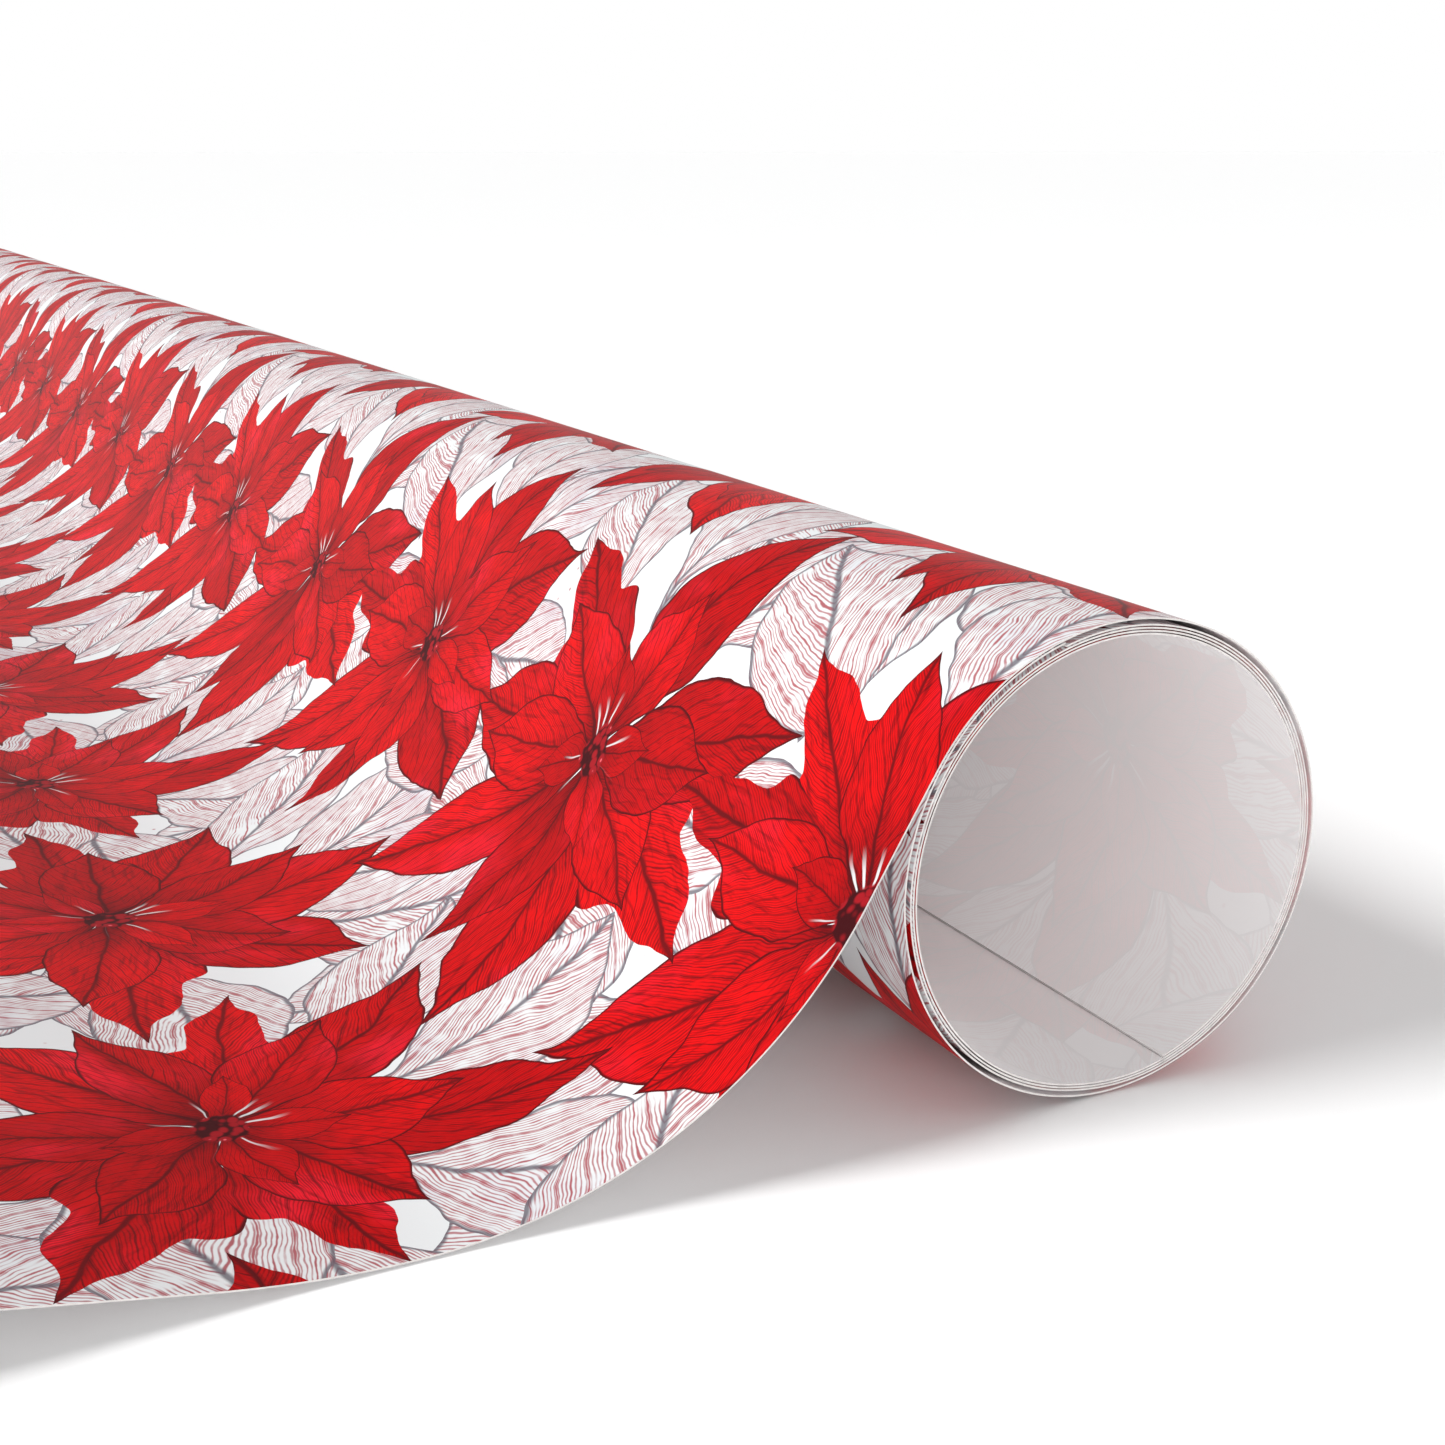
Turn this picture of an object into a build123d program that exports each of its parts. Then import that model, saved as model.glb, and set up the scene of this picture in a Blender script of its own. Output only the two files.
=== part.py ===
from build123d import *

import math
import os

# A roll of printed wrapping paper, partly unrolled, in millimetres.
#
# The paper is one sheet without a core. It is wound into a coil whose axis is X. It leaves the top of
# the coil towards -Y, comes down to the table, rises in one shallow wave and lies flat to its free edge.
# The origin is on the axis of the bore, in the middle of the roll's width. Each turn of the coil is a
# true arc with a short ramp up to the next turn, and the outer wrap lies loose around the coil.
# Every curve below follows the sheet's plain side, and the paper's thickness is added outside it.

# The sheet
sheet_width = 762.0
sheet_length = 914.4
paper = 0.15

# The coil, with angles counted from +Y towards +Z
bore_radius = 19.6
layer_gap = 0.10
wrap_clearance = 0.10
whole_turns = 3
ramp_angle = 30.0
inner_edge_angle = 288.0
wrap_start_angle = 108.0
takeoff_angle = 149.0

# The way from the coil down to the table, and the wave after it
landing_radius = 43.4
wave_foot_radius = 84.0
wave_slope = 10.5
wave_rise_length = 14.7
crest_radius = 105.0
seat_length = 3.0

# The flat end of the sheet
pull_travel = 103.6
leader_overlap = 2.4
leader_inset = 1.0
lift_panel_length = 42.0
free_end_length = 23.0

# Fits between sections that move on one another
butt_gap = 0.15
slip_gap = 0.10

# The turns of the coil, from the innermost outwards, and the wrap around them
pitch = paper + layer_gap
turn_radii = [bore_radius + n * pitch for n in range(whole_turns + 1)]
last_turn_angle = wrap_start_angle + 360 - inner_edge_angle
wrap_radius = turn_radii[-1] + paper + wrap_clearance
wrap_top_radius = wrap_radius + pitch
wrap_low_angle = inner_edge_angle - wrap_start_angle
wrap_top_start = inner_edge_angle + ramp_angle
wrap_top_angle = takeoff_angle + 360 - wrap_top_start
butt_angle = math.degrees(butt_gap / bore_radius)
table_z = -(wrap_radius + paper)

# The sheet leaves the coil along the tangent at the take-off angle
takeoff_heading = takeoff_angle + 90
descent_angle = takeoff_heading - 180
takeoff_point = Vector(wrap_top_radius, 0).rotate(Axis.Z, takeoff_angle)
landing_drop = landing_radius * (1 - math.cos(math.radians(descent_angle)))
span_drop = takeoff_point.Y - table_z - landing_drop
span_length = span_drop / math.sin(math.radians(descent_angle))

# The wave comes down onto the leader, one paper thickness above the table
wave_fall_length = wave_rise_length - paper / math.sin(math.radians(wave_slope))

# What is left of the sheet's length lies flat
wound_length = math.radians(360) * sum(r + pitch * ramp_angle / 720 for r in turn_radii[:-1])
wound_length += math.radians(last_turn_angle) * turn_radii[-1]
wound_length += math.radians(wrap_low_angle) * wrap_radius
wound_length += math.radians(wrap_top_angle + ramp_angle) * wrap_top_radius
descent_length = span_length + math.radians(descent_angle) * landing_radius
wave_length = wave_rise_length + wave_fall_length + seat_length
wave_length += 2 * math.radians(wave_slope) * (wave_foot_radius + crest_radius)
flat_length = sheet_length - wound_length - descent_length - wave_length
laid_length = flat_length - lift_panel_length - free_end_length
leader_length = seat_length + pull_travel + leader_overlap
laid_z = table_z + paper + slip_gap

os.makedirs("parts", exist_ok=True)

# The whole turns of the coil, from the innermost outwards
for turn in range(whole_turns):
    # The outermost of these moves as one with the turn around it, and the others slide inside it
    end_angle = ramp_angle - (butt_angle if turn < whole_turns - 1 else 0)
    ramp_start = inner_edge_angle - ramp_angle
    with BuildPart() as whole_turn:
        with BuildSketch(Plane.YZ):
            with BuildLine():
                sides = []
                for radius in (turn_radii[turn], turn_radii[turn] + paper):
                    around = CenterArc((0, 0), radius, inner_edge_angle, 360 - ramp_angle)
                    top = Vector(radius + pitch, 0).rotate(Axis.Z, ramp_start + end_angle)
                    along = Vector(0, 1).rotate(Axis.Z, ramp_start + end_angle)
                    ramp = Spline(around @ 1, top, tangents=(around % 1, along))
                    sides.append((around @ 0, ramp @ 1))
                Line(sides[0][0], sides[1][0])
                Line(sides[0][1], sides[1][1])
            make_face()
        extrude(amount=sheet_width / 2, both=True)
    whole_turn.part.label = f"turn_{turn + 1}"
    export_step(whole_turn.part, f"parts/turn_{turn + 1}.step")

# The last turn of the coil, which ends under the start of the wrap
with BuildPart() as turn_4:
    with BuildSketch(Plane.YZ):
        with BuildLine():
            plain = CenterArc((0, 0), turn_radii[-1], inner_edge_angle, last_turn_angle)
            printed = CenterArc((0, 0), turn_radii[-1] + paper, inner_edge_angle, last_turn_angle)
            Line(plain @ 0, printed @ 0)
            Line(plain @ 1, printed @ 1)
        make_face()
    extrude(amount=sheet_width / 2, both=True)
turn_4.part.label = "turn_4"
export_step(turn_4.part, "parts/turn_4.step")

# The wrap around the coil, which ramps up to pass over its own start and reach the take-off point
with BuildPart() as outer_wrap:
    with BuildSketch(Plane.YZ):
        with BuildLine():
            sides = []
            for thickness in (0, paper):
                low = CenterArc((0, 0), wrap_radius + thickness, wrap_start_angle, wrap_low_angle)
                high = CenterArc((0, 0), wrap_top_radius + thickness, wrap_top_start, wrap_top_angle)
                Spline(low @ 1, high @ 0, tangents=(low % 1, high % 0))
                sides.append((low @ 0, high @ 1))
            Line(sides[0][0], sides[1][0])
            Line(sides[0][1], sides[1][1])
        make_face()
    extrude(amount=sheet_width / 2, both=True)
outer_wrap.part.label = "outer_wrap"
export_step(outer_wrap.part, "parts/outer_wrap.step")

# From the take-off point straight down, then curving in to touch the table
with BuildPart() as descent:
    with BuildSketch(Plane.YZ):
        with BuildLine() as descent_line:
            PolarLine(takeoff_point, span_length, takeoff_heading)
            landing_start = takeoff_point + Vector(span_length, 0).rotate(Axis.Z, takeoff_heading)
            landing_heading = Vector(1, 0).rotate(Axis.Z, takeoff_heading)
            landing = JernArc(landing_start, landing_heading, landing_radius, -descent_angle)
            offset(amount=paper, side=Side.RIGHT)
        make_face()
    extrude(amount=sheet_width / 2, both=True)
descent.part.label = "descent"
export_step(descent.part, "parts/descent.step")

# The near side of the wave, which lifts off the table
with BuildPart() as wave_rise:
    with BuildSketch(Plane.YZ):
        with BuildLine():
            foot = JernArc(landing @ 1, landing % 1, wave_foot_radius, -wave_slope)
            slope = PolarLine(foot @ 1, wave_rise_length, direction=foot % 1)
            offset(amount=paper, side=Side.RIGHT)
        make_face()
    extrude(amount=sheet_width / 2, both=True)
wave_rise.part.label = "wave_rise"
export_step(wave_rise.part, "parts/wave_rise.step")

# The crest and far side of the wave, which come down to a short flat seat on the leader
with BuildPart() as wave_crest:
    with BuildSketch(Plane.YZ):
        with BuildLine():
            crest = JernArc(slope @ 1, slope % 1, crest_radius, 2 * wave_slope)
            fall = PolarLine(crest @ 1, wave_fall_length, direction=crest % 1)
            far_foot = JernArc(fall @ 1, fall % 1, wave_foot_radius, -wave_slope)
            seat = PolarLine(far_foot @ 1, seat_length, direction=far_foot % 1)
            offset(amount=paper, side=Side.RIGHT)
        make_face()
    extrude(amount=sheet_width / 2, both=True)
wave_crest.part.label = "wave_crest"
export_step(wave_crest.part, "parts/wave_crest.step")

# The stretch of paper under the laid sheet, which shows as the laid sheet is drawn off
with BuildPart() as leader:
    with BuildSketch(Plane.XY.offset(table_z)):
        with Locations((0, (seat @ 0).X - leader_length / 2)):
            Rectangle(sheet_width - 2 * leader_inset, leader_length)
    extrude(amount=paper)
leader.part.label = "leader"
export_step(leader.part, "parts/leader.step")

# The flat sheet that is drawn off, from the wave to the line where it is lifted. The profile's own X is
# the world's Y.
laid_start = (seat @ 1).X - butt_gap
lift_line = (seat @ 1).X - laid_length
with BuildPart() as laid_sheet:
    with BuildSketch(Plane.XY.offset(laid_z)):
        with Locations((0, (laid_start + lift_line) / 2)):
            Rectangle(sheet_width, laid_start - lift_line)
    extrude(amount=paper)
laid_sheet.part.label = "laid_sheet"
export_step(laid_sheet.part, "parts/laid_sheet.step")

# The panel that lifts off the table
curl_line = lift_line - lift_panel_length
with BuildPart() as lift_panel:
    with BuildSketch(Plane.XY.offset(laid_z)):
        with Locations((0, (lift_line + curl_line - butt_gap) / 2)):
            Rectangle(sheet_width, lift_panel_length - butt_gap)
    extrude(amount=paper)
lift_panel.part.label = "lift_panel"
export_step(lift_panel.part, "parts/lift_panel.step")

# The free end, which curls up again from its own line as the panel lifts
free_edge = curl_line - free_end_length
with BuildPart() as free_end:
    with BuildSketch(Plane.XY.offset(laid_z)):
        with Locations((0, (curl_line + free_edge - butt_gap) / 2)):
            Rectangle(sheet_width, free_end_length - butt_gap)
    extrude(amount=paper)
free_end.part.label = "free_end"
export_step(free_end.part, "parts/free_end.step")
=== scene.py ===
"""A partly unrolled roll of printed wrapping paper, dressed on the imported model's frame.

The sheet is one strip of paper. Each section of it is a surface on a grid: one parameter runs along the
sheet's length, which follows a profile in the Y-Z plane, and the other runs across its width along X.
"""

import logging
import math
from dataclasses import dataclass
from enum import Enum

import bpy
import numpy as np
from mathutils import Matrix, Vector


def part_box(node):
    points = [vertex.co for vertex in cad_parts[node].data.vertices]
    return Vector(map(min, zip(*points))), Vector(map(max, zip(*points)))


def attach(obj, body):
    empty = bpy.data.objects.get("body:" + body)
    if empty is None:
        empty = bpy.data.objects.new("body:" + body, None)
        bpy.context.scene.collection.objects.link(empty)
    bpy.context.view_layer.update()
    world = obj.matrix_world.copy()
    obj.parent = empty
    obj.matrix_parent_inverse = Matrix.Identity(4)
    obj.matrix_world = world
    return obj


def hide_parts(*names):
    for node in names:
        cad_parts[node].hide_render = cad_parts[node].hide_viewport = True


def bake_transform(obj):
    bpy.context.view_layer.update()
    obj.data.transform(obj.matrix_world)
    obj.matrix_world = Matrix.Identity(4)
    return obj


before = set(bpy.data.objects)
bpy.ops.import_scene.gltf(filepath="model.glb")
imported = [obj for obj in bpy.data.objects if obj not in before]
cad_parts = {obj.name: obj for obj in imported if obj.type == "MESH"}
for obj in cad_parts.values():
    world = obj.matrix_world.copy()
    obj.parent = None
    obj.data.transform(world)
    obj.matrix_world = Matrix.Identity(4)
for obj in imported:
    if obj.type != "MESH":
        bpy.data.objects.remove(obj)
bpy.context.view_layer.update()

log = logging.getLogger("wrapping_paper")

PAPER_UV = "sheet"
PAPER_SPECULAR = 0.06
FIBRE_BUMP = 0.4
BLADE_MARGIN = 0.004
BRACT_RANK = 10.0
FLOWER_RANK_STEP = 0.2
ROW_SPACING = 0.001


def linear(red: int, green: int, blue: int) -> tuple[float, float, float, float]:
    """A display colour as the shader's linear colour.

    Args:
        red: Red, 0 to 255.
        green: Green, 0 to 255.
        blue: Blue, 0 to 255.

    Returns:
        The linear colour with full alpha.
    """
    shares = np.array([red, green, blue]) / 255.0
    curve = np.where(shares <= 0.04045, shares / 12.92, ((shares + 0.055) / 1.055) ** 2.4)
    return (float(curve[0]), float(curve[1]), float(curve[2]), 1.0)


# ---------------------------------------------------------------------------------------------
# Shader expressions
# ---------------------------------------------------------------------------------------------


class Wire:
    """A shader socket that Python's operators turn into Math nodes."""

    def __init__(self, graph: "Graph", socket: bpy.types.NodeSocket) -> None:
        """Keeps the socket and the graph that new nodes go into."""
        self.graph = graph
        self.socket = socket

    def _math(self, operation: str, *inputs: object) -> "Wire":
        """One Math node on these inputs."""
        return self.graph.node("ShaderNodeMath", {"operation": operation}, dict(enumerate(inputs)))

    def __add__(self, other: object) -> "Wire":
        """This value plus another."""
        return self._math("ADD", self, other)

    __radd__ = __add__

    def __mul__(self, other: object) -> "Wire":
        """This value times another."""
        return self._math("MULTIPLY", self, other)

    __rmul__ = __mul__

    def __sub__(self, other: object) -> "Wire":
        """This value less another."""
        return self._math("SUBTRACT", self, other)

    def __rsub__(self, other: object) -> "Wire":
        """Another value less this one."""
        return self._math("SUBTRACT", other, self)

    def __gt__(self, other: object) -> "Wire":
        """1 where this value is the larger, or 0."""
        return self._math("GREATER_THAN", self, other)

    def __lt__(self, other: object) -> "Wire":
        """1 where this value is the smaller, or 0."""
        return self._math("LESS_THAN", self, other)

    def __abs__(self) -> "Wire":
        """The value without its sign."""
        return self._math("ABSOLUTE", self)

    def fraction(self) -> "Wire":
        """The part after the decimal point."""
        return self._math("FRACT", self)

    def or_more(self, other: object) -> "Wire":
        """The larger of this and another value."""
        return self._math("MAXIMUM", self, other)


class Graph:
    """The node tree of a material or of the room, and the few ways nodes are added to it."""

    def __init__(self, owner: bpy.types.Material | bpy.types.World) -> None:
        """Empties the owner's tree.

        Args:
            owner: The material or the world.
        """
        self.owner = owner
        self.owner.use_nodes = True
        self.tree = self.owner.node_tree
        self.tree.nodes.clear()

    @classmethod
    def of_material(cls, name: str) -> "Graph":
        """The graph of a new material."""
        return cls(bpy.data.materials.new(name))

    def node(
        self, kind: str, settings: dict[str, object], inputs: dict[object, object], out: int = 0
    ) -> Wire:
        """Adds one node.

        Args:
            kind: The node's type.
            settings: Properties set before the sockets, and a curve's or a ramp's points as "points".
            inputs: Values or wires for the input sockets, by name or number.
            out: The output socket's number.

        Returns:
            The output socket as a wire.
        """
        node = self.tree.nodes.new(kind)
        for name, value in settings.items():
            if name == "points":
                self._shape_curve(node, value)
            else:
                setattr(node, name, value)
        for key, value in inputs.items():
            socket = node.inputs[key]
            if isinstance(value, Wire):
                self.tree.links.new(value.socket, socket)
            else:
                socket.default_value = value
        return Wire(self, node.outputs[out])

    @staticmethod
    def _shape_curve(node: bpy.types.Node, points: list[tuple[float, float]]) -> None:
        """Gives a curve node its points, with smooth handles.

        Args:
            node: The curve node.
            points: The points, in order along the curve.
        """
        curve = node.mapping.curves[0]
        curve.points[0].location = points[0]
        curve.points[1].location = points[-1]
        for place in points[1:-1]:
            curve.points.new(*place)
        node.mapping.extend = "HORIZONTAL"
        node.mapping.update()

    def mix(self, share: object, first: object, second: object, kind: str = "RGBA") -> Wire:
        """Blends two colours or two vectors.

        Args:
            share: How much of the second, from 0 to 1.
            first: The first colour or vector.
            second: The second one.
            kind: RGBA or VECTOR.

        Returns:
            The blend.
        """
        base = {"RGBA": 6, "VECTOR": 4}[kind]
        return self.node(
            "ShaderNodeMix",
            {"data_type": kind, "clamp_factor": True},
            {0: share, base: first, base + 1: second},
            {"RGBA": 2, "VECTOR": 1}[kind],
        )

    def vector(self, operation: str, first: object, second: object) -> Wire:
        """One Vector Math node that gives a vector."""
        return self.node("ShaderNodeVectorMath", {"operation": operation}, {0: first, 1: second})

    def measure(self, operation: str, first: object, second: object = (0.0, 0.0, 0.0)) -> Wire:
        """One Vector Math node that gives a number, such as a length or a dot product."""
        return self.node("ShaderNodeVectorMath", {"operation": operation}, {0: first, 1: second}, 1)

    def split(self, vector: Wire) -> tuple[Wire, Wire, Wire]:
        """A vector's three numbers, each its dot product with one axis."""
        axes = ((1.0, 0.0, 0.0), (0.0, 1.0, 0.0), (0.0, 0.0, 1.0))
        return tuple(self.measure("DOT_PRODUCT", vector, axis) for axis in axes)

    def ease(self, value: Wire, start: float, end: float) -> Wire:
        """Rises smoothly from 0 to 1.

        Args:
            value: The value.
            start: Where the rise starts.
            end: Where it ends.

        Returns:
            The eased value.
        """
        return self.node(
            "ShaderNodeMapRange",
            {"interpolation_type": "SMOOTHSTEP"},
            {"Value": value, "From Min": start, "From Max": end},
        )

    def noise(self, place: Wire, scale: float, detail: float = 2.0, out: int = 0) -> Wire:
        """Smooth noise around one half.

        Args:
            place: Where it is read.
            scale: How many bumps go into a unit of the place.
            detail: How many finer layers are added.
            out: 0 for a value, 1 for a colour.

        Returns:
            The noise.
        """
        inputs = {"Vector": place, "Scale": scale, "Detail": detail}
        return self.node("ShaderNodeTexNoise", {"noise_dimensions": "3D"}, inputs, out)

    def end_in(self, output_kind: str, shader: Wire) -> None:
        """Links the finished shader to an output node."""
        output = self.tree.nodes.new(output_kind)
        self.tree.links.new(shader.socket, output.inputs["Surface"])

    def surface(
        self, colour: object, roughness: object, relief: Wire | None, depth: float
    ) -> bpy.types.Material:
        """Ends the graph in a paper surface.

        Args:
            colour: The base colour.
            roughness: The roughness.
            relief: Heights for a bump, or None.
            depth: The bump's distance in metres.

        Returns:
            The finished material.
        """
        inputs = {"Base Color": colour, "Roughness": roughness, "Specular IOR Level": PAPER_SPECULAR}
        if relief is not None:
            bump = {"Strength": FIBRE_BUMP, "Distance": depth, "Height": relief}
            inputs["Normal"] = self.node("ShaderNodeBump", {}, bump)
        self.end_in("ShaderNodeOutputMaterial", self.node("ShaderNodeBsdfPrincipled", {}, inputs))
        return self.owner


# ---------------------------------------------------------------------------------------------
# The print: poinsettias with line-drawn leaves, repeated over the sheet
# ---------------------------------------------------------------------------------------------


class Outline(Enum):
    """Half the width of a bract or leaf along its length, both from 0 to 1."""

    SMOOTH = (
        (0.0, 0.0), (0.08, 0.14), (0.26, 0.62), (0.48, 1.0),
        (0.66, 0.86), (0.84, 0.36), (0.94, 0.1), (1.0, 0.0),
    )
    LOBED = (
        (0.0, 0.0), (0.1, 0.16), (0.3, 0.66), (0.45, 0.98), (0.52, 1.0),
        (0.6, 0.6), (0.76, 0.5), (0.9, 0.14), (1.0, 0.0),
    )
    LEAF = ((0.0, 0.0), (0.35, 0.1), (0.5, 0.62), (0.68, 1.0), (0.82, 0.76), (0.93, 0.28), (1.0, 0.0))


@dataclass(frozen=True)
class Blade:
    """One bract or leaf, drawn from its flower's centre, in tile lengths and degrees."""

    angle: float
    length: float
    half_width: float
    outline: Outline


@dataclass(frozen=True)
class Flower:
    """One poinsettia of the repeat: where it is in the tile, how it is turned, and its rings of blades."""

    place: tuple[float, float]
    turn: float
    size: float
    seed: int

    def blades(self) -> list[Blade]:
        """The flower's blades from the back to the front.

        Each ring has its own count, reach and width, and a seeded generator varies every blade a little, so
        that no two flowers are alike.

        Returns:
            Leaves first, then the long bracts, the shorter ones and the small ones at the heart.
        """
        vary = np.random.default_rng(self.seed)
        rings = (
            (8, 0.42, 0.082, (Outline.LEAF,)),
            (7, 0.305, 0.064, (Outline.SMOOTH, Outline.LOBED)),
            (6, 0.215, 0.052, (Outline.SMOOTH,)),
            (4, 0.105, 0.026, (Outline.SMOOTH,)),
        )
        drawn = []
        for count, reach, breadth, outlines in rings:
            step = 360.0 / count
            first = vary.uniform(0.0, step)
            for blade in range(count):
                drawn.append(
                    Blade(
                        angle=first + blade * step + vary.uniform(-0.2, 0.2) * step,
                        length=reach * vary.uniform(0.84, 1.12),
                        half_width=breadth * vary.uniform(0.88, 1.14),
                        outline=outlines[int(vary.uniform(0, len(outlines)))],
                    )
                )
        return drawn


@dataclass(frozen=True)
class Print:
    """The sheet's printed design and its inks.

    The flowers stand in even rows, and every other row is shifted by half the space between two flowers.
    """

    near_edge: float
    repeat: float = 0.1036
    flowers: tuple[Flower, ...] = (
        Flower((0.25, 0.25), 0.0, 1.02, 11),
        Flower((0.75, 0.25), 20.0, 1.06, 23),
        Flower((0.0, 0.75), 40.0, 1.04, 35),
        Flower((0.5, 0.75), 60.0, 1.06, 47),
    )
    ground: tuple = linear(221, 224, 225)
    leaf_shade: tuple = linear(204, 206, 214)
    leaf_line: tuple = linear(160, 60, 70)
    leaf_edge: tuple = linear(92, 88, 98)
    red_bright: tuple = linear(216, 5, 9)
    red_warm: tuple = linear(188, 2, 6)
    red_pink: tuple = linear(232, 26, 48)
    red_deep: tuple = linear(112, 2, 8)
    ink: tuple = linear(58, 4, 10)
    berry: tuple = linear(150, 18, 28)
    berry_light: tuple = linear(222, 96, 104)
    wobble: float = 0.035
    veins: float = 14.0
    hatching: float = 49.0
    specks: float = 42.0
    berries: float = 90.0
    cluster: float = 0.025

    def colour(self, g: Graph) -> Wire:
        """The design's colour at the piece's own place on the sheet.

        The sheet's two lengths, from its near edge and its inner end, are divided by the repeat. For
        each flower the nearest copy of its centre is subtracted, and each of its blades turns and scales that
        place to run from 0 to 1 along the blade and -1 to 1 across it. The last blade whose outline holds the
        place is the one on top, and its own place then gives its shading, side veins, midrib and outline.

        Args:
            g: The graph that gets the nodes.

        Returns:
            The colour.
        """
        flat = g.node("ShaderNodeUVMap", {"uv_map": PAPER_UV}, {})
        from_corner = g.vector("SUBTRACT", flat, (self.near_edge, 0.0, 0.0))
        tile = g.vector("MULTIPLY", from_corner, (-1.0 / self.repeat, 1.0 / self.repeat, 0.0))
        shake = g.vector("SUBTRACT", g.noise(tile, 9.0, 3.0, 1), (0.5, 0.5, 0.5))
        drawn_at = g.vector("ADD", tile, g.vector("MULTIPLY", shake, (self.wobble, self.wobble, 0.0)))
        top, heart = None, None
        for number, flower in enumerate(self.flowers):
            blade_place, flower_place = self._flower(g, drawn_at, flower, number)
            if top is None:
                top, heart = blade_place, flower_place
                continue
            in_front = self._rank(g, blade_place) > self._rank(g, top)
            top = g.mix(in_front, top, blade_place, "VECTOR")
            nearer = self._reach(g, flower_place) < self._reach(g, heart)
            heart = g.mix(nearer, heart, flower_place, "VECTOR")
        return self._inks(g, tile, top, heart)

    @staticmethod
    def _rank(g: Graph, place: Wire) -> Wire:
        """The number of the blade that a place is on; later blades have higher ones."""
        return g.measure("DOT_PRODUCT", place, (0.0, 0.0, 1.0))

    @staticmethod
    def _reach(g: Graph, place: Wire) -> Wire:
        """How far a place is from its flower's centre."""
        return g.measure("LENGTH", place)

    @staticmethod
    def _flower(g: Graph, tile: Wire, flower: Flower, number: int) -> tuple[Wire, Wire]:
        """One flower's topmost blade at each place.

        Args:
            g: The graph.
            tile: The place in tile lengths.
            flower: The flower.
            number: Its number in the repeat, which varies its blades' shades.

        Returns:
            The place along and across the topmost blade with the blade's number, and the place from the
            flower's centre.
        """
        half = (0.5 - flower.place[0], 0.5 - flower.place[1], 0.0)
        wrapped = g.vector("FRACTION", g.vector("ADD", tile, half), (0.0, 0.0, 0.0))
        local = g.vector("SUBTRACT", wrapped, (0.5, 0.5, 0.0))
        top: Wire | None = None
        for order, blade in enumerate(flower.blades()):
            rank = order + 1 + number * FLOWER_RANK_STEP
            if blade.outline is not Outline.LEAF:
                rank += BRACT_RANK
            angle = math.radians(blade.angle + flower.turn)
            reach, breadth = blade.length * flower.size, blade.half_width * flower.size
            u = g.measure("DOT_PRODUCT", local, (math.cos(angle) / reach, math.sin(angle) / reach, 0.0))
            v = g.measure("DOT_PRODUCT", local, (-math.sin(angle) / breadth, math.cos(angle) / breadth, 0.0))
            width = g.node("ShaderNodeFloatCurve", {"points": list(blade.outline.value)}, {"Value": u})
            inside = width > abs(v) + BLADE_MARGIN
            place = g.node("ShaderNodeCombineXYZ", {}, {0: u, 1: v, 2: rank})
            start = (0.0, 0.0, 0.0) if top is None else top
            top = g.mix(inside, start, place, "VECTOR")
        return top, local

    def _inks(self, g: Graph, tile: Wire, top: Wire, heart: Wire) -> Wire:
        """Colours the drawing.

        Args:
            g: The graph.
            tile: The place in tile lengths.
            top: The place on the topmost blade, with its number.
            heart: The place from the nearest flower's centre.

        Returns:
            The colour of paper and ink together.
        """
        u, v, rank = g.split(top)
        across = abs(v)
        bract = rank > BRACT_RANK + 0.5
        leaf = (rank > 0.5) * (1.0 - bract)
        smooth = g.node("ShaderNodeFloatCurve", {"points": list(Outline.SMOOTH.value)}, {"Value": u})
        slim = g.node("ShaderNodeFloatCurve", {"points": list(Outline.LEAF.value)}, {"Value": u})
        width = smooth * bract + slim * leaf
        inset = width - across
        pen = g.noise(tile, 26.0, 2.0)
        fine = g.noise(tile, 70.0, 2.0)
        shade = g.node("ShaderNodeTexWhiteNoise", {"noise_dimensions": "1D"}, {"W": rank})

        # side veins leave the midrib and sweep forward, in two pitches
        sweep = u - across * (across * 0.16 + 0.3) + (pen - 0.5) * 0.05
        coarse = abs((sweep * self.veins).fraction() - 0.5) * 2.0
        hair = abs((sweep * self.hatching).fraction() - 0.5) * 2.0
        vein = g.ease(coarse + (fine - 0.5) * 0.3, 0.8, 0.95)
        hatch = g.ease(hair + (fine - 0.5) * 0.7, 0.42, 0.86) * g.ease(pen, 0.3, 0.5)
        midrib = 1.0 - g.ease(across + (fine - 0.5) * 0.03, 0.012, 0.055)
        edge = 1.0 - g.ease(inset + (pen - 0.5) * 0.04, 0.024, 0.07)

        patch = g.noise(tile, 7.0, 3.0)
        red = g.mix(g.ease(shade, 0.2, 0.8), self.red_warm, self.red_bright)
        red = g.mix(g.ease(patch, 0.5, 0.7) * g.ease(across, 0.08, 0.5) * 0.75, red, self.red_pink)
        streak = g.noise(g.vector("MULTIPLY", top, (2.6, 5.5, 1.7)), 2.0, 3.0)
        red = g.mix(g.ease(streak, 0.5, 0.72) * 0.62, red, self.red_deep)
        near_heart = (1.0 - g.ease(u, 0.05, 0.55)) * 0.72
        near_midrib = (1.0 - g.ease(across, 0.0, 0.3)) * 0.22
        red = g.mix(near_heart + near_midrib, red, self.red_deep)
        lines = (vein * 0.72).or_more(hatch * 0.5).or_more(midrib * 0.8).or_more(edge * 0.92)
        red = g.mix(lines, red, self.ink)

        pale = g.mix(g.ease(patch, 0.52, 0.72) * 0.6, self.ground, self.leaf_shade)
        pale = g.mix(vein.or_more(hatch * 0.85) * 0.9, pale, self.leaf_line)
        pale = g.mix(midrib.or_more(edge) * 0.85, pale, self.leaf_edge)

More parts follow.
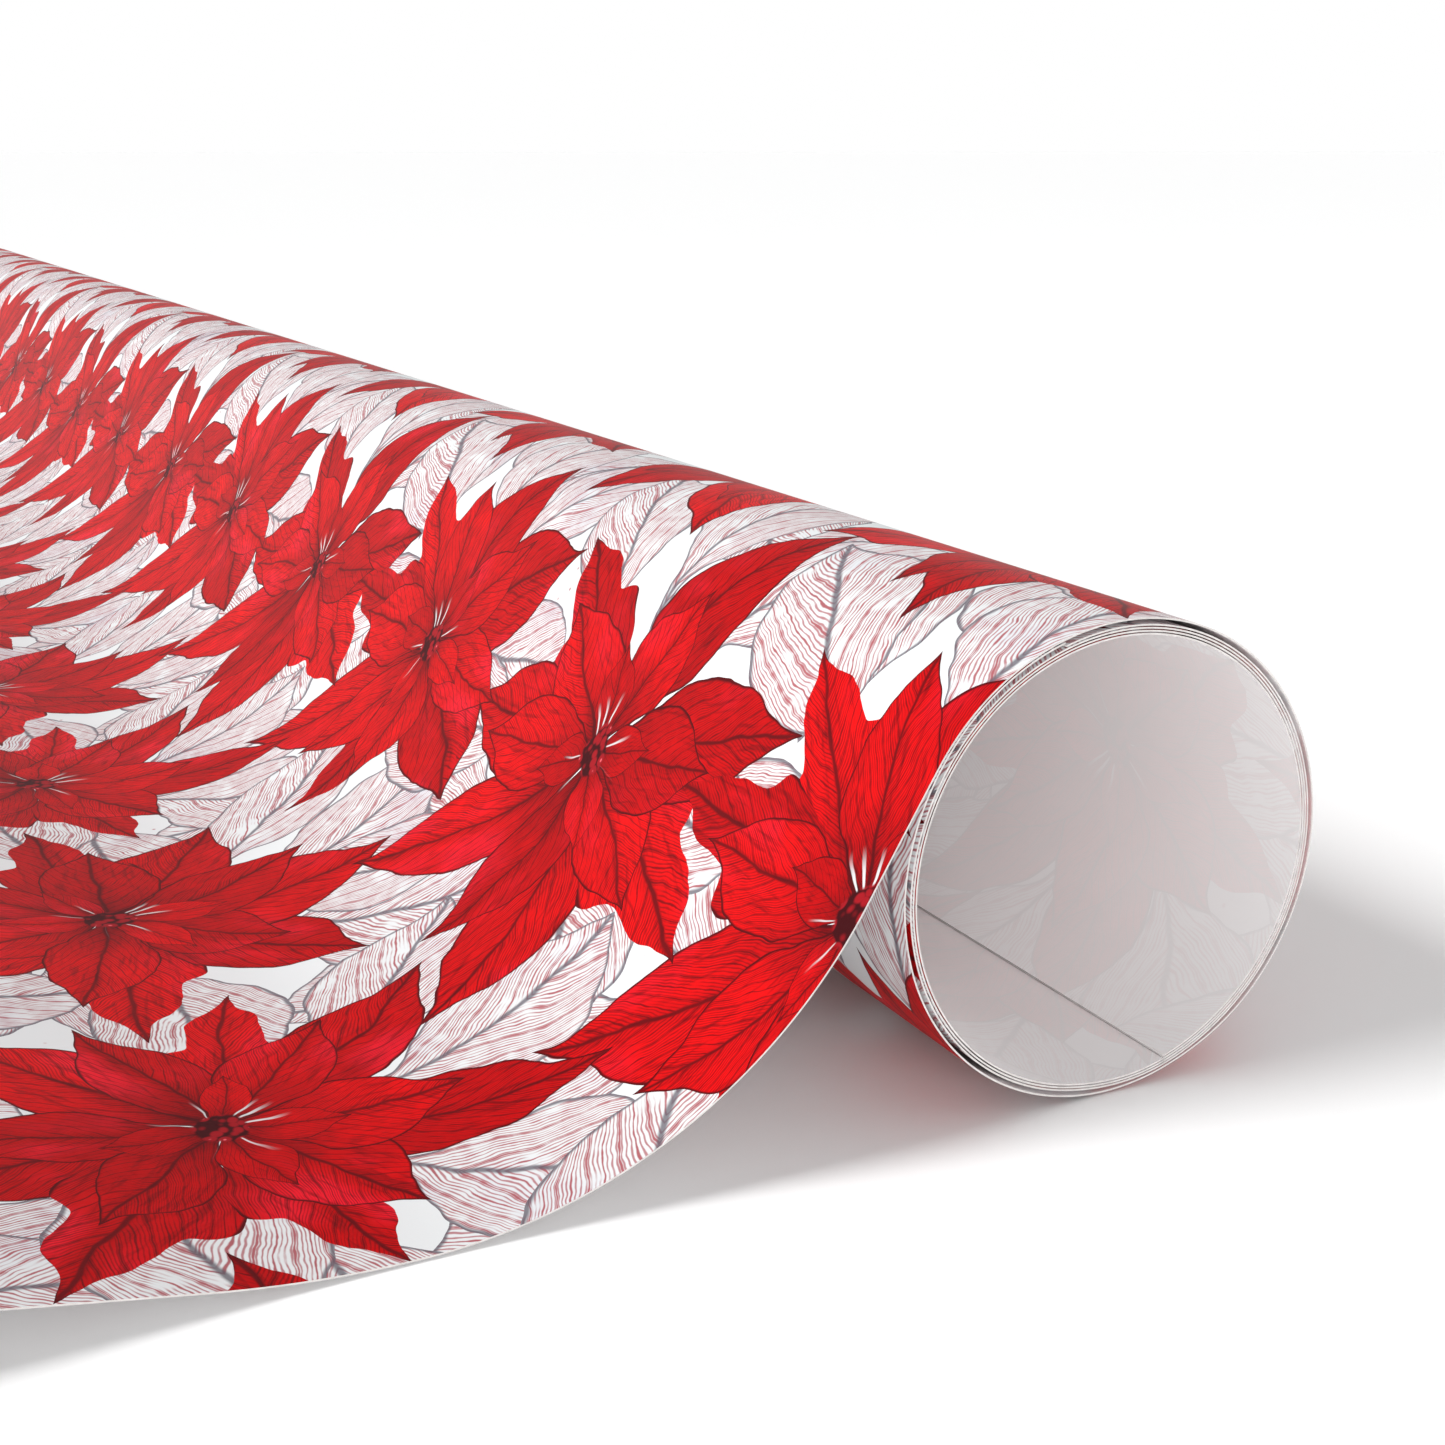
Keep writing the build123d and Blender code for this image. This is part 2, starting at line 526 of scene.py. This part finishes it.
        speck = g.node("ShaderNodeTexVoronoi", {"feature": "F1"}, {"Vector": tile, "Scale": self.specks})
        spotted = (1.0 - g.ease(speck, 0.05, 0.12)) * g.ease(patch, 0.5, 0.6)
        colour = g.mix(spotted * 0.7, self.ground, self.leaf_line)
        colour = g.mix(leaf, colour, pale)
        colour = g.mix(bract, colour, red)

        reach = self._reach(g, heart)
        rays = g.noise(g.vector("NORMALIZE", heart, (0.0, 0.0, 0.0)), 4.5, 1.0)
        sliver = g.ease(rays, 0.6, 0.64) * (1.0 - g.ease(reach, 0.034, 0.062))
        colour = g.mix(sliver * 0.85, colour, self.ground)
        cells = g.node("ShaderNodeTexVoronoi", {"feature": "F1"}, {"Vector": heart, "Scale": self.berries})
        bead = g.mix(g.ease(cells, 0.06, 0.2), self.berry_light, self.berry)
        bead = g.mix(g.ease(cells, 0.42, 0.62), bead, self.ink)
        cluster = 1.0 - g.ease(reach + (pen - 0.5) * 0.02, self.cluster - 0.004, self.cluster)
        return g.mix(cluster, colour, bead)


@dataclass(frozen=True)
class PrintedFace:
    """The printed side: inks under a faint satin coating."""

    design: Print
    roughness: float = 0.46
    spread: float = 0.1
    fibre: float = 0.00002
    fibres: float = 2600.0

    def build(self) -> bpy.types.Material:
        """The material."""
        g = Graph.of_material("printed_face")
        colour = self.design.colour(g)
        place = g.node("ShaderNodeUVMap", {"uv_map": PAPER_UV}, {})
        grain = g.noise(place, self.fibres, 3.0)
        roughness = grain * self.spread + (self.roughness - self.spread / 2)
        return g.surface(colour, roughness, grain, self.fibre)


@dataclass(frozen=True)
class PlainFace:
    """The unprinted side, where the print shows through faintly."""

    design: Print
    white: tuple = linear(248, 246, 246)
    show_through: float = 0.11
    cloud_spread: float = 0.05
    clouds: float = 90.0
    roughness: float = 0.62
    spread: float = 0.12
    fibre: float = 0.00003
    fibres: float = 2200.0

    def build(self) -> bpy.types.Material:
        """The material."""
        g = Graph.of_material("plain_face")
        place = g.node("ShaderNodeUVMap", {"uv_map": PAPER_UV}, {})
        grain = g.noise(place, self.fibres, 3.0)
        cloud = g.noise(place, self.clouds, 2.0)
        share = cloud * self.cloud_spread + (self.show_through - self.cloud_spread / 2)
        colour = g.mix(share, self.white, self.design.colour(g))
        roughness = grain * self.spread + (self.roughness - self.spread / 2)
        return g.surface(colour, roughness, grain, self.fibre)


@dataclass(frozen=True)
class CutEdge:
    """The cut through the paper's thickness, with its fibres bare, in greys darker than the paper's white:
    painted shade that makes the wound layers' edges read as stripes.
    """

    # painted shade: both greys are darker than the paper's own white so that the layers' edges read as
    # stripes; the noise that mixes them is fibre grain
    white: tuple = linear(196, 193, 191)
    fibre_and_shade_grey: tuple = linear(158, 153, 151)
    roughness: float = 0.85
    fibres: float = 1500.0

    def build(self) -> bpy.types.Material:
        """The material."""
        g = Graph.of_material("cut_edge")
        place = g.node("ShaderNodeTexCoord", {}, {}, 3)
        tint = g.noise(place, self.fibres, 2.0)
        return g.surface(g.mix(tint, self.white, self.fibre_and_shade_grey), self.roughness, None, 0.0)


# ---------------------------------------------------------------------------------------------
# The sheet's profile and its sections
# ---------------------------------------------------------------------------------------------


@dataclass(frozen=True)
class Profile:
    """The plain side's line in the Y-Z plane, with the printed side's direction and the length so far."""

    places: np.ndarray
    outward: np.ndarray
    stations: np.ndarray

    @property
    def end(self) -> float:
        """The length at its far end."""
        return float(self.stations[-1])

    @classmethod
    def from_places(cls, places: np.ndarray, start: float) -> "Profile":
        """A profile through points close together.

        The direction at each point is the difference of its neighbours, and the printed side is on its right.

        Args:
            places: Points, one row each.
            start: The sheet's length at the first point.

        Returns:
            The profile.
        """
        steps = np.linalg.norm(np.diff(places, axis=0), axis=1)
        stations = start + np.concatenate([[0.0], np.cumsum(steps)])
        along = np.gradient(places, stations, axis=0)
        along /= np.linalg.norm(along, axis=1, keepdims=True)
        return cls(places, np.stack([along[:, 1], -along[:, 0]], 1), stations)

    @classmethod
    def from_legs(
        cls, place: tuple[float, float], heading: float, legs: list[tuple[float, float, int]], start: float
    ) -> "Profile":
        """A profile of straights and arcs, each tangent to the one before.

        Along a leg the heading grows evenly from its start to its end, and the place is the integral of the
        heading's direction: the difference of sines and cosines over the curvature, or a straight line.

        Args:
            place: Where it starts.
            heading: Its first direction, in radians from +Y towards +Z.
            legs: Each leg's length, the angle it turns through in radians, and its number of steps.
            start: The sheet's length at its start.

        Returns:
            The profile.
        """
        rows, normals = [np.array([place])], [np.array([[math.sin(heading), -math.cos(heading)]])]
        stations = [np.array([start])]
        for length, turn, steps in legs:
            share = np.arange(1, steps + 1) / steps
            angle = heading + turn * share
            if abs(turn) < 1e-9:
                offset = length * share[:, None] * np.array([[math.cos(heading), math.sin(heading)]])
            else:
                bend = length / turn
                offset = bend * np.stack(
                    [np.sin(angle) - math.sin(heading), math.cos(heading) - np.cos(angle)], 1
                )
            rows.append(rows[-1][-1] + offset)
            normals.append(np.stack([np.sin(angle), -np.cos(angle)], 1))
            stations.append(stations[-1][-1] + length * share)
            heading += turn
        return cls(np.concatenate(rows), np.concatenate(normals), np.concatenate(stations))

    def joined(self, other: "Profile") -> "Profile":
        """This profile and one that starts where it ends."""
        return Profile(
            np.concatenate([self.places, other.places[1:]]),
            np.concatenate([self.outward, other.outward[1:]]),
            np.concatenate([self.stations, other.stations[1:]]),
        )


@dataclass
class Finishes:
    """The three materials of the sheet, in the order of a section's material slots."""

    printed: bpy.types.Material
    plain: bpy.types.Material
    edge: bpy.types.Material

    def in_order(self) -> list[bpy.types.Material]:
        """Printed side, plain side, cut edge."""
        return [self.printed, self.plain, self.edge]


@dataclass
class Section:
    """One stretch of the sheet as a closed mesh."""

    name: str
    profile: Profile
    half_width: float
    thickness: float
    columns: int = 32

    def build(self, finishes: Finishes) -> bpy.types.Object:
        """Makes the mesh and gives it its finishes.

        The plain side is the profile carried along X from one cut edge to the other. The printed side is the
        same grid moved outwards by the thickness, and four rims close the two grids. The map holds each
        point's place on the flat sheet: across its width and along its length, in metres.

        Args:
            finishes: The sheet's materials.

        Returns:
            The object.
        """
        rows, columns = len(self.profile.stations), self.columns + 1
        across = np.linspace(-self.half_width, self.half_width, columns)
        layers = []
        for height in (0.0, self.thickness):
            line = self.profile.places + self.profile.outward * height
            grid = np.empty((rows, columns, 3))
            grid[:, :, 0] = across[None, :]
            grid[:, :, 1:] = line[:, None, :]
            layers.append(grid.reshape(-1, 3))
        points = np.concatenate(layers)

        index = np.arange(rows * columns).reshape(rows, columns)
        above = index + rows * columns
        quad = self._quads
        plain = quad(index[:-1, :-1], index[:-1, 1:], index[1:, 1:], index[1:, :-1])
        printed = quad(above[:-1, :-1], above[1:, :-1], above[1:, 1:], above[:-1, 1:])
        rims = [
            quad(index[0, :-1], above[0, :-1], above[0, 1:], index[0, 1:]),
            quad(index[-1, :-1], index[-1, 1:], above[-1, 1:], above[-1, :-1]),
            quad(index[:-1, 0], index[1:, 0], above[1:, 0], above[:-1, 0]),
            quad(index[:-1, -1], above[:-1, -1], above[1:, -1], index[1:, -1]),
        ]
        faces = np.concatenate([printed, plain, *rims])
        slots = np.concatenate(
            [np.zeros(len(printed), int), np.ones(len(plain), int), np.full(sum(map(len, rims)), 2)]
        )
        mesh = bpy.data.meshes.new(self.name)
        mesh.from_pydata(points.tolist(), [], faces.tolist())
        mesh.polygons.foreach_set("material_index", slots.astype(np.int32))
        mesh.polygons.foreach_set("use_smooth", np.ones(len(faces), bool))
        self._map(mesh, across, rows)
        self._crease(mesh, slots)
        for material in finishes.in_order():
            mesh.materials.append(material)
        mesh.validate()
        piece = bpy.data.objects.new(self.name, mesh)
        bpy.context.scene.collection.objects.link(piece)
        start, end = self.profile.stations[[0, -1]] * 1e3
        log.info("%s: %d faces, sheet %.1f to %.1f mm", self.name, len(faces), start, end)
        return piece

    @staticmethod
    def _quads(*corners: np.ndarray) -> np.ndarray:
        """Four grids of corner numbers as rows of four."""
        return np.stack(corners, -1).reshape(-1, 4)

    def _map(self, mesh: bpy.types.Mesh, across: np.ndarray, rows: int) -> None:
        """Stores each corner's place on the flat sheet.

        Args:
            mesh: The mesh.
            across: The columns' places across the width.
            rows: How many rows the grid has.
        """
        flat = np.empty((rows, len(across), 2))
        flat[:, :, 0] = across[None, :]
        flat[:, :, 1] = self.profile.stations[:, None]
        flat = np.tile(flat.reshape(-1, 2), (2, 1))
        corners = np.empty(len(mesh.loops), np.int32)
        mesh.loops.foreach_get("vertex_index", corners)
        layer = mesh.uv_layers.new(name=PAPER_UV)
        layer.data.foreach_set("uv", flat[corners].astype(np.float32).ravel())

    @staticmethod
    def _crease(mesh: bpy.types.Mesh, slots: np.ndarray) -> None:
        """Keeps the shading apart where the printed or plain side meets a cut edge.

        Args:
            mesh: The mesh.
            slots: Each face's material slot.
        """
        edges = np.empty(len(mesh.loops), np.int32)
        mesh.loops.foreach_get("edge_index", edges)
        owners = np.repeat(slots, 4)
        low, high = np.full(len(mesh.edges), slots.max()), np.zeros(len(mesh.edges), int)
        np.minimum.at(low, edges, owners)
        np.maximum.at(high, edges, owners)
        mark = mesh.attributes.new("sharp_edge", "BOOLEAN", "EDGE")
        mark.data.foreach_set("value", low != high)


@dataclass
class Coil:
    """The wound turns, and the wrap around them down to the table and over the wave."""

    half_width: float
    paper: float
    bore_radius: float
    pitch: float
    wrap_radius: float
    wrap_top_radius: float
    table_z: float
    inner_edge: float = math.radians(288.0)
    ramp: float = math.radians(30.0)
    wrap_start: float = math.radians(108.0)
    takeoff: float = math.radians(149.0)
    landing_radius: float = 0.0434
    foot_radius: float = 0.084
    crest_radius: float = 0.105
    slope: float = math.radians(10.5)
    rise_length: float = 0.0147
    seat_length: float = 0.003
    butt_gap: float = 0.00005
    step: float = math.radians(2.0)

    @classmethod
    def from_frame(cls) -> "Coil":
        """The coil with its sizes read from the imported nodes."""
        laid_low, laid_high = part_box("laid_sheet")
        leader_low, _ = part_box("leader")
        paper = laid_high.z - laid_low.z
        outer = [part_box(node)[1].y for node in ("turn_1", "turn_2")]
        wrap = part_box("outer_wrap")[1]
        table_z = leader_low.z
        return cls(
            half_width=laid_high.x,
            paper=paper,
            bore_radius=round(outer[0] - paper, 5),
            pitch=round(outer[1] - outer[0], 5),
            wrap_radius=-table_z - paper,
            wrap_top_radius=round(wrap.y - paper, 5),
            table_z=table_z,
        )

    def _turn(self, level: int, sweep: float, start: float) -> Profile:
        """A turn on one level from the inner edge's angle.

        The radius is the level's own, and over the last ramp of a whole turn it eases up by one pitch.

        Args:
            level: Turns inside this one.
            sweep: The angle it covers.
            start: The sheet's length at its start.

        Returns:
            The turn's profile.
        """
        angle = np.linspace(0.0, sweep, int(round(sweep / self.step)) + 1)
        climb = np.clip((angle - (2 * math.pi - self.ramp)) / self.ramp, 0.0, 1.0)
        radius = self.bore_radius + self.pitch * (level + climb * climb * (3 - 2 * climb))
        turned = angle + self.inner_edge
        return Profile.from_places(np.stack([radius * np.cos(turned), radius * np.sin(turned)], 1), start)

    def _wrap(self, start: float) -> Profile:
        """The wrap from its hidden start, up one pitch and round to the take-off point.

        Args:
            start: The sheet's length at its start.

        Returns:
            The wrap's profile.
        """
        sweep = self.takeoff + 2 * math.pi - self.wrap_start
        angle = self.wrap_start + np.linspace(0.0, sweep, int(round(sweep / self.step)) + 1)
        climb = np.clip((angle - self.inner_edge) / self.ramp, 0.0, 1.0)
        rise = self.wrap_top_radius - self.wrap_radius
        radius = self.wrap_radius + rise * climb * climb * (3 - 2 * climb)
        return Profile.from_places(np.stack([radius * np.cos(angle), radius * np.sin(angle)], 1), start)

    def _way_down(self, start: float) -> Profile:
        """The straight from the take-off point, the landing on the table and the wave after it.

        Args:
            start: The sheet's length at the take-off point.

        Returns:
            The profile, to the end of the seat on the leader.
        """
        radius = self.wrap_top_radius
        place = (radius * math.cos(self.takeoff), radius * math.sin(self.takeoff))
        drop = self.takeoff - math.pi / 2
        fall = place[1] - self.table_z - self.landing_radius * (1 - math.cos(drop))
        descent = self.rise_length - self.paper / math.sin(self.slope)
        legs = [
            (fall / math.sin(drop), 0.0, 8),
            (self.landing_radius * drop, -drop, 48),
            (self.foot_radius * self.slope, -self.slope, 12),
            (self.rise_length, 0.0, 8),
            (2 * self.crest_radius * self.slope, 2 * self.slope, 20),
            (descent, 0.0, 8),
            (self.foot_radius * self.slope, -self.slope, 12),
            (self.seat_length, 0.0, 2),
        ]
        return Profile.from_legs(place, self.takeoff + math.pi / 2, legs, start)

    def build(self, finishes: Finishes) -> float:
        """Builds every wound section and the wave.

        Args:
            finishes: The sheet's materials.

        Returns:
            The sheet's length at the end of the seat.
        """
        station = 0.0
        half_turn = (self.wrap_start - self.inner_edge) % (2 * math.pi)
        sweeps = (2 * math.pi, 2 * math.pi, 2 * math.pi, half_turn)
        bodies = ("core_turn", "inner_coil", "coil", "coil")
        for level, (sweep, body) in enumerate(zip(sweeps, bodies)):
            slides_on_its_own = body != "coil"
            short = self.butt_gap / self.bore_radius if slides_on_its_own else 0.0
            profile = self._turn(level, sweep - short, station)
            station = profile.end + short * self.bore_radius
            piece = Section(f"coil_turn_{level + 1}", profile, self.half_width, self.paper).build(finishes)
            self._attach(piece, body, f"turn_{level + 1}")
        wrap = self._wrap(station)
        whole = wrap.joined(self._way_down(wrap.end))
        piece = Section("paid_out_sheet", whole, self.half_width, self.paper, 48).build(finishes)
        self._attach(piece, "roll", "outer_wrap", "descent", "wave_rise", "wave_crest")
        flat = (2 * self.half_width, whole.end - wrap.stations[0])
        return whole.end

    @staticmethod
    def _attach(piece: bpy.types.Object, body: str, *nodes: str) -> None:
        """Ties a piece to its body, and hides the nodes it stands for.

        Args:
            piece: The piece.
            body: The body it moves with.
            nodes: The nodes it takes the place of.
        """
        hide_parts(*nodes)
        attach(piece, body)


@dataclass
class FlatEnd:
    """The leader on the table, and the laid sheet over it to the free edge."""

    half_width: float
    paper: float
    seat_station: float
    bend: float = 0.02
    seat_length: float = 0.003

    def build(self, finishes: Finishes) -> None:
        """Builds the leader and the two stretches of the laid sheet.

        The first stretch runs to the middle of the panel between the line where the sheet is lifted and the
        line where its end curls, and the second from there on; both stay flat.

        Args:
            finishes: The sheet's materials.
        """
        leader_low, leader_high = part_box("leader")
        laid_low, laid_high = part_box("laid_sheet")
        panel_low, panel_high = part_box("lift_panel")
        end_low, end_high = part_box("free_end")
        seat_end = leader_high.y - self.seat_length
        lift_line = (laid_low.y + panel_high.y) / 2
        curl_line = (panel_low.y + end_high.y) / 2
        middle = (lift_line + curl_line) / 2
        height = laid_low.z

        leader = self._flat(
            "leader_sheet",
            leader_high.y,
            leader_low.y,
            leader_low.z,
            leader_high.x,
            seat_end,
            finishes,
        )
        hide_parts("leader")
        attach(leader, "roll")

        laid = self._flat(
            "laid_sheet_near", seat_end, middle, height, self.half_width, seat_end, finishes
        )
        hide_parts("laid_sheet", "lift_panel")
        self._bend(laid, lift_line)

        tip = self._flat(
            "laid_sheet_end", middle, end_low.y, height, self.half_width, seat_end, finishes
        )
        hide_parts("free_end")
        self._bend(tip, curl_line)

    def _flat(
        self,
        name: str,
        start: float,
        end: float,
        height: float,
        half_width: float,
        seat_end: float,
        finishes: Finishes,
    ) -> bpy.types.Object:
        """A flat stretch of the sheet, in rows about a millimetre apart.

        Args:
            name: The piece's name.
            start: Its Y nearest the coil.
            end: Its Y furthest from the coil.
            height: The plain side's height.
            half_width: Half its width.
            seat_end: The Y where the seat ends, at which the sheet's length is known.
            finishes: The sheet's materials.

        Returns:
            The object.
        """
        rows = int(round((start - end) / ROW_SPACING)) + 1
        y = np.linspace(start, end, rows)
        profile = Profile(
            np.stack([y, np.full(rows, height)], 1),
            np.tile([[0.0, 1.0]], (rows, 1)),
            self.seat_station + seat_end - y,
        )
        piece = Section(name, profile, half_width, self.paper, 24).build(finishes)
        2 * half_width
        start - end
        return piece

    def _bend(self, piece: bpy.types.Object, line: float) -> None:
        """Bakes a piece's transform into its mesh; the piece stays flat.

        Args:
            piece: The piece.
            line: The hinge line's Y; not used.
        """
        line - self.bend
        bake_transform(piece)


# ---------------------------------------------------------------------------------------------
# The setting
# ---------------------------------------------------------------------------------------------


@dataclass(frozen=True)
class Studio:
    """The table, the light and the camera."""

    table_z: float
    near_end: float
    table_white: tuple = linear(252, 252, 252)
    table_roughness: float = 0.8
    table_reach: float = 60.0
    table_gap: float = 0.0002
    horizon: float = 1.0
    zenith: float = 0.46
    haze: tuple[float, float] = (0.08, 0.5)
    key_place: tuple[float, float, float] = (0.1, -1.35, 1.05)
    key_angle: float = math.radians(20.0)
    key_strength: float = 2.7
    front_place: tuple[float, float, float] = (1.9, -0.05, 0.14)
    front_size: tuple[float, float] = (1.8, 0.3)
    front_power: float = 27.0
    lens: float = 50.0
    sensor: float = 36.0
    nearest: float = 0.005
    eye: tuple[float, float, float] = (0.12635, -0.09941, 0.05721)
    yaw: float = math.radians(153.614)
    pitch: float = math.radians(-15.927)

    def build(self) -> None:
        """Makes the table, the lights and the camera."""
        self._table()
        self._lights()
        self._camera()

    def _table(self) -> None:
        """A wide pale table just under the sheet."""
        reach, z = self.table_reach, self.table_z - self.table_gap
        mesh = bpy.data.meshes.new("table")
        corners = [(-reach, -reach, z), (reach, -reach, z), (reach, reach, z), (-reach, reach, z)]
        mesh.from_pydata(corners, [], [(0, 1, 2, 3)])
        table = bpy.data.objects.new("table", mesh)
        bpy.context.scene.collection.objects.link(table)
        top = Graph.of_material("table_top").surface(self.table_white, self.table_roughness, None, 0.0)
        mesh.materials.append(top)

    def _lights(self) -> None:
        """An even room that is brightest near the horizon, a soft key from the far left, and a front lamp."""
        self._room()
        key = self._lamp("key", "SUN", self.key_place, self.key_strength)
        key.angle = self.key_angle
        front = self._lamp("front", "AREA", self.front_place, self.front_power)
        front.shape = "RECTANGLE"
        front.size, front.size_y = self.front_size

    def _room(self) -> None:
        """The light all round: the direction's height above the horizon blends two whites."""
        world = bpy.data.worlds.new("studio")
        g = Graph(world)
        direction = g.node("ShaderNodeTexCoord", {}, {}, 0)
        height = g.node("ShaderNodeSeparateXYZ", {}, {0: direction}, 2)
        strength = g.node(
            "ShaderNodeMapRange",
            {"interpolation_type": "SMOOTHSTEP"},
            {
                "Value": height,
                "From Min": self.haze[0],
                "From Max": self.haze[1],
                "To Min": self.horizon,
                "To Max": self.zenith,
            },
        )
        light = {"Color": (1.0, 1.0, 1.0, 1.0), "Strength": strength}
        g.end_in("ShaderNodeOutputWorld", g.node("ShaderNodeBackground", {}, light))
        bpy.context.scene.world = world

    def _lamp(self, name: str, kind: str, place: tuple[float, float, float], power: float) -> bpy.types.Light:
        """One lamp that faces the coil's open end.

        Args:
            name: Its name.
            kind: Its type.
            place: Where it hangs.
            power: Its strength.

        Returns:
            The lamp's data, for the settings of its own type.
        """
        data = bpy.data.lights.new(name, kind)
        data.energy = power
        lamp = bpy.data.objects.new(name, data)
        lamp.location = place
        aim = Vector((self.near_end, 0.0, 0.0)) - Vector(place)
        lamp.rotation_euler = aim.to_track_quat("-Z", "Y").to_euler()
        bpy.context.scene.collection.objects.link(lamp)
        return data

    def _camera(self) -> None:
        """The camera near the coil's open end, looking along the roll and a little down."""
        data = bpy.data.cameras.new("camera")
        data.lens = self.lens
        data.sensor_width = self.sensor
        data.clip_start = self.nearest
        camera = bpy.data.objects.new("camera", data)
        camera.location = (self.near_end + self.eye[0], self.eye[1], self.eye[2])
        ahead = Vector(
            (
                math.cos(self.pitch) * math.cos(self.yaw),
                math.cos(self.pitch) * math.sin(self.yaw),
                math.sin(self.pitch),
            )
        )
        camera.rotation_euler = ahead.to_track_quat("-Z", "Y").to_euler()
        bpy.context.scene.collection.objects.link(camera)
        bpy.context.scene.camera = camera


def main() -> None:
    """Builds the roll and its setting."""
    logging.basicConfig(level=logging.INFO, format="%(message)s")
    bpy.context.scene.view_settings.view_transform = "Standard"
    coil = Coil.from_frame()
    design = Print(coil.half_width)
    finishes = Finishes(PrintedFace(design).build(), PlainFace(design).build(), CutEdge().build())
    seat_station = coil.build(finishes)
    FlatEnd(coil.half_width, coil.paper, seat_station).build(finishes)
    Studio(coil.table_z, coil.half_width).build()
    bpy.context.view_layer.update()


if __name__ == "__main__":
    main()
